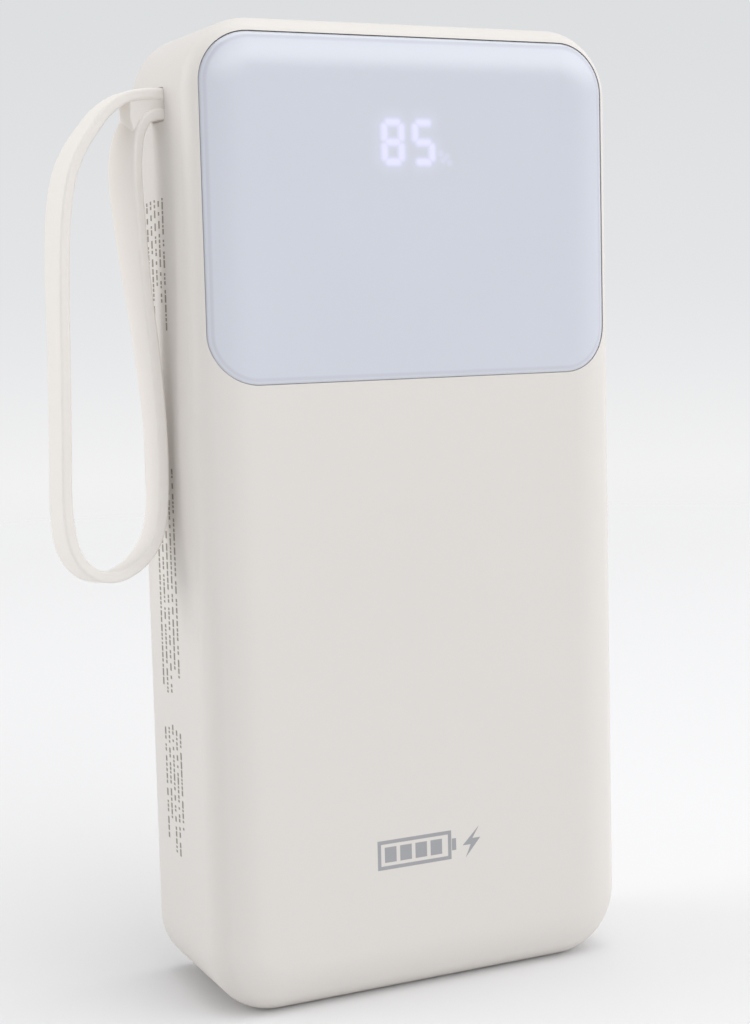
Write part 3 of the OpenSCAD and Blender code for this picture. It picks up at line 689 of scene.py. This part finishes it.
def body_surface(points):
    """How far each point is inside the body's outer surface, and the surface's normal there."""
    d, gx, gz = outline_distance(points[:, 0], points[:, 2])
    h = points[:, 1] - FRONT_Y
    soft_a, soft_b = EDGE_RUN - d, SOFT_R - h
    tight_a, tight_b = TIGHT_R - d, EDGE_DROP - h
    soft_len = np.maximum(np.hypot(soft_a, soft_b), 1e-12)
    tight_len = np.maximum(np.hypot(tight_a, tight_b), 1e-12)
    is_side = h >= EDGE_DROP
    is_front = ~is_side & (d >= EDGE_RUN)
    is_soft = ~is_side & ~is_front & (soft_a * TURN_COS <= soft_b * TURN_SIN)

    def pick(side, front, soft, tight):
        return np.where(is_side, side, np.where(is_front, front, np.where(is_soft, soft, tight)))

    off = pick(d, h, SOFT_R - soft_len, TIGHT_R - tight_len)
    out = pick(1.0, 0.0, soft_a / soft_len, tight_a / tight_len)
    ahead = pick(0.0, 1.0, soft_b / soft_len, tight_b / tight_len)
    return off, np.stack([gx * out, -ahead, gz * out], 1)


def front_depth(x, z, inset=0.0):
    """Y of the body's front surface, moved in by inset, over the point (x, z)."""
    d, _, _ = outline_distance(x, z)
    d = np.maximum(d - inset, 0)
    soft_r, tight_r = SOFT_R - inset, TIGHT_R - inset
    drop, run = EDGE_DROP - inset, EDGE_RUN - inset
    soft = soft_r - np.sqrt(np.maximum(soft_r**2 - np.maximum(run - d, 0) ** 2, 0))
    tight = drop - np.sqrt(np.maximum(tight_r**2 - np.maximum(tight_r - d, 0) ** 2, 0))
    behind = np.where(d >= run, 0.0, np.where(d >= tight_r * (1 - TURN_SIN), soft, tight))
    return FRONT_Y + inset + behind


# ---------------------------------------------------------------- cutters
# How far a cutter runs past the wall that it cuts
AIR = 1 * MM


def lens_ring(inset, depth_inset, sink=0.0):
    """Ring inside the lens outline, on the body's front surface moved in by depth_inset."""
    flat = rounded_ring(LENS_HALF[0] - inset, LENS_HALF[1] - inset, LENS_R - inset)
    x, z = flat[:, 0], flat[:, 1] + LENS_Z
    return np.stack([x, front_depth(x, z, depth_inset) + sink, z], 1)


def recess_cutter():
    """What the lens recess takes away. The lens sits low and to the right in it, as LENS_PLAY says."""
    insets = [i * MM for i in (7, 6.2, 5.4, 4.6, 3.8, 3, 2.2, 1.4, 0.6, 0)] + [-LENS_GAP]
    floor = [lens_ring(i, LENS_SINK + LENS_T + TAPE_T) + LENS_PLAY for i in insets]
    air = [lens_ring(i, 0, -AIR) + LENS_PLAY for i in reversed(insets)]
    return new_piece("recess", *loft(floor + air), "shell")


def hole_cutter(axis, at, surface, half, r, lip=0.3 * MM):
    """Rounded rectangular hole through the wall at surface, along +X, -X or +Z, with a softened lip."""
    turn = np.linspace(0, math.pi / 2, 6)
    grow = [0.0] + list(lip * (1 - np.cos(turn))) + [lip]
    out = [-WALL - AIR] + list(-lip + lip * np.sin(turn)) + [0.6 * MM]
    rings = []
    for g, o in zip(grow, out):
        flat = rounded_ring(half[0] + g, half[1] + g, r + g, 8, 3)
        a, b = flat[:, 0] + at[0], flat[:, 1] + at[1]
        level = np.full(len(flat), surface + (o if axis != "-X" else -o))
        rings.append(np.stack([level, a, b] if axis in ("+X", "-X") else [a, b, level], 1))
    return new_piece("hole", *loft(rings), "shell")


# ---------------------------------------------------------------- housing, cover, lens, button and dome
# Width, thickness and corner radius of each port's mouth
PORTS = {
    "usb_c_shell": (8.94 * MM, 3.2 * MM, 1.59 * MM),
    "usb_a_shell_1": (13.1 * MM, 5.7 * MM, 0.5 * MM),
    "usb_a_shell_2": (13.1 * MM, 5.7 * MM, 0.5 * MM),
}
PORT_GAP = 0.15 * MM
BUTTON_HOLE = (2 * MM, 5.2 * MM)
SLOT_R = 0.8 * MM
SLOT_LIP = 0.35 * MM
SEAM_CHAMFER = 0.15 * MM
SEAM_SOFT = 0.04 * MM


def wall_cutters():
    """The holes in the housing's wall: three ports on top, the button's on the right, the strap's slot."""
    holes = []
    for port, (width, thick, r) in PORTS.items():
        low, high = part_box(port)
        at = ((low.x + high.x) / 2, (low.y + high.y) / 2)
        half = (width / 2 + PORT_GAP, thick / 2 + PORT_GAP)
        holes.append(hole_cutter("+Z", at, BODY_H, half, r + PORT_GAP))
    button_at = ((button_low.y + button_high.y) / 2, (button_low.z + button_high.z) / 2)
    holes.append(hole_cutter("+X", button_at, HALF_W, BUTTON_HOLE, BUTTON_HOLE[0] - 0.01 * MM))
    slot_half = (SLOT_SIZE[0] / 2, SLOT_SIZE[1] / 2)
    holes.append(hole_cutter("-X", (STRAP_Y, SLOT_Z), -HALF_W, slot_half, SLOT_R, SLOT_LIP))
    return holes


def window_cutter():
    """The opening in the recess's floor, through which the display is seen."""
    low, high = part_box("display_frame")
    gap = 0.3 * MM
    ring = rounded_ring((high.x - low.x) / 2 + gap, (high.z - low.z) / 2 + gap, 0.2 * MM, 4, 2)
    middle = (low.z + high.z) / 2
    rings = [np.stack([ring[:, 0], np.full(len(ring), y), ring[:, 1] + middle], 1)
             for y in (FRONT_Y + 0.5 * MM, FRONT_Y + 2 * WALL)]
    return new_piece("window", *loft(rings), "shell")


def make_housing():
    """The front shell, hollow, with its recess and holes."""
    outer = [body_ring(d, FRONT_Y + h) for d, h in edge_profile()]
    outer += [body_ring(0, y) for y in np.linspace(FRONT_Y + EDGE_DROP, SEAM_Y - SEAM_CHAMFER, 8)[1:]]
    outer += [body_ring(SEAM_SOFT, SEAM_Y - SEAM_SOFT), body_ring(SEAM_CHAMFER, SEAM_Y)]
    inner = [body_ring(WALL + d, FRONT_Y + WALL + h) for d, h in edge_profile(WALL, 6)]
    rings = outer + [body_ring(WALL, SEAM_Y)] + inner[::-1]
    piece = new_piece("housing_shell", *loft(rings), "shell")
    face_out(piece)
    cut(piece, recess_cutter(), *wall_cutters())
    cut(piece, window_cutter())
    smooth(piece, 35, body_surface)
    return finish_piece(piece, "pack", "housing", "main_housing")


COVER_INSET = 0.35 * MM
COVER_EDGE_R = 2 * MM
COVER_STEP = 3.5 * MM
COVER_GAP = 0.1 * MM
LIP_W = 1.2 * MM


def make_cover():
    """The back shell: a plate with a rounded edge, and a lip that goes into the housing."""
    inset, r = COVER_INSET, COVER_EDGE_R
    top = cover_low.y + COVER_STEP
    turn = np.linspace(0, math.pi / 2, 12)
    rings = [body_ring(inset + r - r * math.sin(a), BACK_Y - r + r * math.cos(a)) for a in turn]
    rings += [body_ring(inset, top + COVER_GAP), body_ring(inset + COVER_GAP, top)]
    lip = WALL + COVER_GAP
    rings += [body_ring(lip, top), body_ring(lip, cover_low.y)]
    rings += [body_ring(lip + LIP_W, cover_low.y), body_ring(lip + LIP_W, top)]
    piece = new_piece("cover_shell", *loft(rings), "shell")
    face_out(piece)
    smooth(piece, 35)
    return finish_piece(piece, "pack", "cover", "back_cover")


LENS_BEVEL = 0.75 * MM
LENS_BEVEL_DROP = 0.2 * MM
BEVEL_STEPS = (0, 0.01, 0.03, 0.07, 0.13, 0.2, 0.3, 0.42, 0.56, 0.75)
FACE_STEPS = (1.1, 1.6, 2.2, 2.9, 3.6, 4.3, 5, 5.7, 6.4, 7)


def make_lens():
    """The window: it follows the body's rounded front, and its outer edge is softened."""
    back = [lens_ring(i * MM, LENS_SINK + LENS_T) for i in (7, 5.5, 4, 2.5, 1.2, 0)]
    front = []
    for i in BEVEL_STEPS + FACE_STEPS:
        share = max(0.0, 1 - i * MM / LENS_BEVEL)
        drop = LENS_BEVEL_DROP * (1 - math.sqrt(1 - share * share))
        front.append(lens_ring(i * MM, LENS_SINK, drop))
    piece = new_piece("lens_window", *loft(back + front), "lens")
    face_out(piece)
    smooth(piece, 40)
    return finish_piece(piece, "pack", "lens", "display_lens")


BAR_PAD = 0.36 * MM
# Growth of a bar's outline and depth behind the lens's face, in millimetres
BAR_PROFILE = [(0, 0.1), (0, -0.004), (-0.05, -0.012)]


def make_digits():
    """Thin lit bars that lie in the lens's face, one closed solid for each lit segment."""
    points, faces = [], []
    for x, z, half_x, half_z in segment_places():
        ring = rounded_ring(half_x + BAR_PAD, half_z + BAR_PAD, BAR_PAD - 0.02 * MM, 6, 1)
        rings = []
        for grow, behind in BAR_PROFILE:
            flat = ring * (1 + grow * MM / (BAR_PAD + max(half_x, half_z)))
            y = np.full(len(flat), FRONT_Y + LENS_SINK + behind * MM)
            rings.append(np.stack([flat[:, 0] + x, y, flat[:, 1] + z], 1))
        more, sides = loft(rings)
        faces += [tuple(v + len(points) for v in f) for f in sides]
        points += list(more)
    piece = new_piece("digit_bars", points, faces, "lens")
    face_out(piece)
    smooth(piece, 40)
    return finish_piece(piece, "pack", "lit")


CAP_HALF = (1.8 * MM, 5 * MM)
# Distance in from the cap's outline and height from its top, in millimetres
CAP_CROWN = [(1.6, -0.02), (1.1, -0.05), (0.7, -0.1), (0.4, -0.16), (0.22, -0.24), (0.1, -0.34),
             (0.03, -0.46), (0, -0.6)]
FLANGE_GROW = 1 * MM
FLANGE_T = 0.9 * MM


def cap_ring(grow):
    """Outline of the pill button, grown by grow; its ends are all but half circles."""
    return rounded_ring(CAP_HALF[0] + grow, CAP_HALF[1] + grow, CAP_HALF[0] - 0.01 * MM + grow, 12, 3)


def make_button():
    """Pill button: crowned top, soft edge, and the flange that keeps it in the housing."""
    y = (button_low.y + button_high.y) / 2
    z = (button_low.z + button_high.z) / 2
    flange_top = button_low.x + FLANGE_T
    levels = [(cap_ring(-inset * MM), button_high.x + down * MM) for inset, down in CAP_CROWN]
    levels += [(cap_ring(0), flange_top), (cap_ring(FLANGE_GROW), flange_top)]
    levels += [(cap_ring(FLANGE_GROW), button_low.x)]
    rings = [np.stack([np.full(len(f), x), f[:, 0] + y, f[:, 1] + z], 1) for f, x in levels]
    piece = new_piece("button_cap", *loft(rings), "button")
    face_out(piece)
    smooth(piece, 40)
    return finish_piece(piece, "button", "button", "power_button")


DOME_SHEET = 0.12 * MM
DOME_RINGS = 9
DOME_SIDES = 48


def make_snap_dome():
    """The steel dome in the side switch, built at rest; the real dome goes flat under the plunger as the
    button is pressed.
    """
    low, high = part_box("switch_dome")
    rise, rim = high.x - low.x, (high.y - low.y) / 2
    outer = (rim**2 + rise**2) / (2 * rise)
    inner = outer - DOME_SHEET
    inner_rim = math.sqrt(inner**2 - (outer - rise)**2)
    steps = range(1, DOME_RINGS + 1)
    arcs = [(inner_rim * k / DOME_RINGS, inner) for k in steps]
    arcs += [(rim * k / DOME_RINGS, outer) for k in reversed(steps)]
    middle = (low + high) / 2
    turns = np.linspace(0, 2 * math.pi, DOME_SIDES, endpoint=False)
    rings = []
    for r, ball in arcs:
        x = np.full(DOME_SIDES, high.x - outer + math.sqrt(ball**2 - r**2))
        rings.append(np.stack([x, middle.y + r * np.cos(turns), middle.z + r * np.sin(turns)], 1))
    piece = new_piece("snap_dome", *loft(rings), "steel")
    face_out(piece)
    smooth(piece, 40)
    finish_piece(piece, "pack", "dome", "switch_dome")
    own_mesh(piece)


# ---------------------------------------------------------------- strap
# The web's outline, as the route's points are given, and how its edges across the band are softened
WEB_OUTLINE = [(1, -9.6), (-2, -9.6), (-4.7, -10.1), (-4.8, -13.2), (-4.4, -15.2), (-3.4, -13.9),
               (-1.6, -13.0), (1, -13.0)]
WEB_LAYERS = [(-2.6, 0.96), (-2.45, 1), (2.45, 1), (2.6, 0.96)]
STRAP_EDGE_R = 0.45 * MM
STRAP_SAMPLES = 260
TWIST_BLUR = 25
STRAP_FOLD = 32


def strap_root():
    """The moulded web that fills the space between the two strands by the slot."""
    outline = np.array(WEB_OUTLINE) * MM + (-HALF_W, BODY_H)
    middle = outline.mean(0)
    rings = []
    for y, keep in WEB_LAYERS:
        flat = middle + (outline - middle) * keep
        rings.append(np.stack([flat[:, 0], np.full(len(flat), STRAP_Y + y * MM), flat[:, 1]], 1))
    return new_piece("strap_root", *loft(rings), "strap")


def strap_line():
    """The route as evenly spaced points on a smooth curve through the design's points, and its length."""
    route = np.array([(x * MM - HALF_W, z * MM + BODY_H) for x, z in STRAP_ROUTE])
    ends = np.concatenate([[route[0]], route, [route[-1]]])
    fine = []
    for k in range(len(route) - 1):
        a, b, c, d = ends[k:k + 4]
        for t in np.linspace(0, 1, 12, endpoint=False):
            fine.append(0.5 * (2 * b + (c - a) * t + (2 * a - 5 * b + 4 * c - d) * t**2
                               + (3 * b - a - 3 * c + d) * t**3))
    fine = np.array(fine + [route[-1]])
    along = np.concatenate([[0], np.cumsum(np.linalg.norm(np.diff(fine, axis=0), axis=1))])
    even = np.linspace(0, along[-1], STRAP_SAMPLES)
    line = np.stack([np.interp(even, along, fine[:, k]) for k in range(2)], 1)
    return line, along[-1]


def strap_outward(line):
    """At each point of the route, the direction across it that leads out of the loop."""
    tangent = np.gradient(line, axis=0)
    tangent[0] = tangent[-1] * -1
    tangent /= np.linalg.norm(tangent, axis=1)[:, None]
    outward = np.stack([tangent[:, 1], -tangent[:, 0]], 1)
    return outward * np.sign(((line - line.mean(0)) * outward).sum())


def strap_twist():
    """The band's twist in radians along the route: STRAP_TWIST, blurred, and none at the slot."""
    share = np.linspace(0, 1, STRAP_SAMPLES)
    twist = np.radians(np.interp(share, *zip(*STRAP_TWIST)))
    kernel = np.hanning(TWIST_BLUR) / np.hanning(TWIST_BLUR).sum()
    twist = np.convolve(np.pad(twist, TWIST_BLUR // 2, mode="edge"), kernel, mode="valid")
    return twist * np.minimum(1, np.minimum(share, 1 - share) / 0.03)


def make_strap():
    """The band: its section swept along the route with the twist, and the web."""
    line, length = strap_line()
    section = rounded_ring(STRAP_W / 2, STRAP_T / 2, STRAP_EDGE_R, 7, 4)
    rings = []
    for (x, z), (ox, oz), turn in zip(line, strap_outward(line), strap_twist()):
        out = np.array([ox, 0, oz])
        front = np.array([0.0, -1.0, 0.0])
        wide = front * math.cos(turn) + out * math.sin(turn)
        thick = out * math.cos(turn) - front * math.sin(turn)
        centre = np.array([x, STRAP_Y, z])
        rings.append(centre + section[:, :1] * wide + section[:, 1:] * thick)
    piece = new_piece("strap_band", *loft(rings), "strap")
    face_out(piece)
    join(piece, strap_root())
    piece.data.polygons.foreach_set("use_smooth", [True] * len(piece.data.polygons))
    piece.data.set_sharp_from_angle(angle=math.radians(STRAP_FOLD))
    path = [(float(x), STRAP_Y, float(z)) for x, z in line[::5]]
    path.append((float(line[-1][0]), STRAP_Y, float(line[-1][1])))
    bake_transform(piece)
    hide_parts("wrist_strap")
    return piece


# ---------------------------------------------------------------- printed marks
# How far a print stands out of the surface, and how far it reaches into it
INK = 0.012 * MM


def printed(name, outlines, place, look, slot):
    """Thin printed shapes: outlines (a, b) in the print's plane, which place(a, b, rise) puts in space."""
    points, faces = [], []
    for outline in outlines:
        count = len(outline)
        first = len(points)
        points += [place(a, b, -INK) for a, b in outline]
        points += [place(a, b, INK) for a, b in outline]
        faces.append(tuple(first + k for k in range(count - 1, -1, -1)))
        faces.append(tuple(first + count + k for k in range(count)))
        for k in range(count):
            j = (k + 1) % count
            faces.append((first + k, first + j, first + count + j, first + count + k))
    piece = new_piece(name, points, faces, look)
    face_out(piece)
    return finish_piece(piece, "pack", slot)


def bar(a0, b0, a1, b1):
    """A rectangle between two corners, from millimetres."""
    return [(a0 * MM, b0 * MM), (a1 * MM, b0 * MM), (a1 * MM, b1 * MM), (a0 * MM, b1 * MM)]


# The mark, in millimetres from its middle line: the battery's case, its knob and cells, and the bolt
MARK_Z = 21.4
CASE_LEFT, CASE_RIGHT, CASE_HALF, CASE_LINE = -8.6, 3.5, 2.2, 0.55
KNOB = (0.1, 0.8, 0.9)
CELLS, CELL_PITCH, CELL_W, CELL_HALF = 4, 2.5, 1.9, 1.15
BOLT_AT = 6.9
BOLT = [(1.3, 2.3), (-1.5, -0.4), (-0.15, -0.4), (-1.0, -2.3), (1.5, 0.5), (0.15, 0.5)]


def make_front_mark():
    """A generic battery with a charging bolt, low on the front."""
    left, right, half = CASE_LEFT, CASE_RIGHT, CASE_HALF
    within = half - CASE_LINE
    shapes = [
        bar(left, -half, right, -within),
        bar(left, within, right, half),
        bar(left, -within, left + CASE_LINE, within),
        bar(right - CASE_LINE, -within, right, within),
        bar(right + KNOB[0], -KNOB[2], right + KNOB[1], KNOB[2]),
    ]
    for k in range(CELLS):
        a = left + CELL_HALF + k * CELL_PITCH
        shapes.append(bar(a, -CELL_HALF, a + CELL_W, CELL_HALF))
    shapes.append([((a + BOLT_AT) * MM, b * MM) for a, b in BOLT])

    def place(a, b, rise):
        return (a, FRONT_Y - rise, b + MARK_Z * MM)

    return printed("battery_mark", shapes, place, "print_grey", "housing")


# Each block of fine print, in millimetres: top, bottom, first row's place, rows, their pitch, how full
PRINT_BLOCKS = [(118.2, 97.8, -1.2, 5, 1.75, 0.75), (80.5, 45.2, -1.2, 5, 1.8, 0.9),
                (41.2, 21.0, -0.8, 5, 1.7, 0.8)]
DASH_W = 0.62
DASHES = [0.35, 0.5, 0.5, 0.8, 1.1]
SPACES = [0.18, 0.22, 0.3, 0.75]


def make_side_print():
    """Fine print on the left side, as plain dashes in rows that run down the side."""
    draw = random.Random(7)
    shapes = []
    for top, bottom, first, rows, pitch, fill in PRINT_BLOCKS:
        for row in range(rows):
            y = first + row * pitch
            z = top - draw.uniform(0, 1.5)
            end = bottom + draw.uniform(0, (top - bottom) * (1 - fill) * 1.6)
            while z > end:
                long = draw.choice(DASHES)
                shapes.append(bar(y, z - long, y + DASH_W, z))
                z -= long + draw.choice(SPACES)

    def place(a, b, rise):
        return (-HALF_W - rise, a, b)

    return printed("side_print", shapes, place, "print_fine", "housing")


# ---------------------------------------------------------------- the scene
bpy.context.scene.view_settings.view_transform = "Standard"
make_camera()
make_strap()
make_world()
make_floor()
make_lights()
make_housing()
make_cover()
make_lens()
make_digits()
make_button()
make_snap_dome()
make_front_mark()
make_side_print()
dress_cad_nodes()
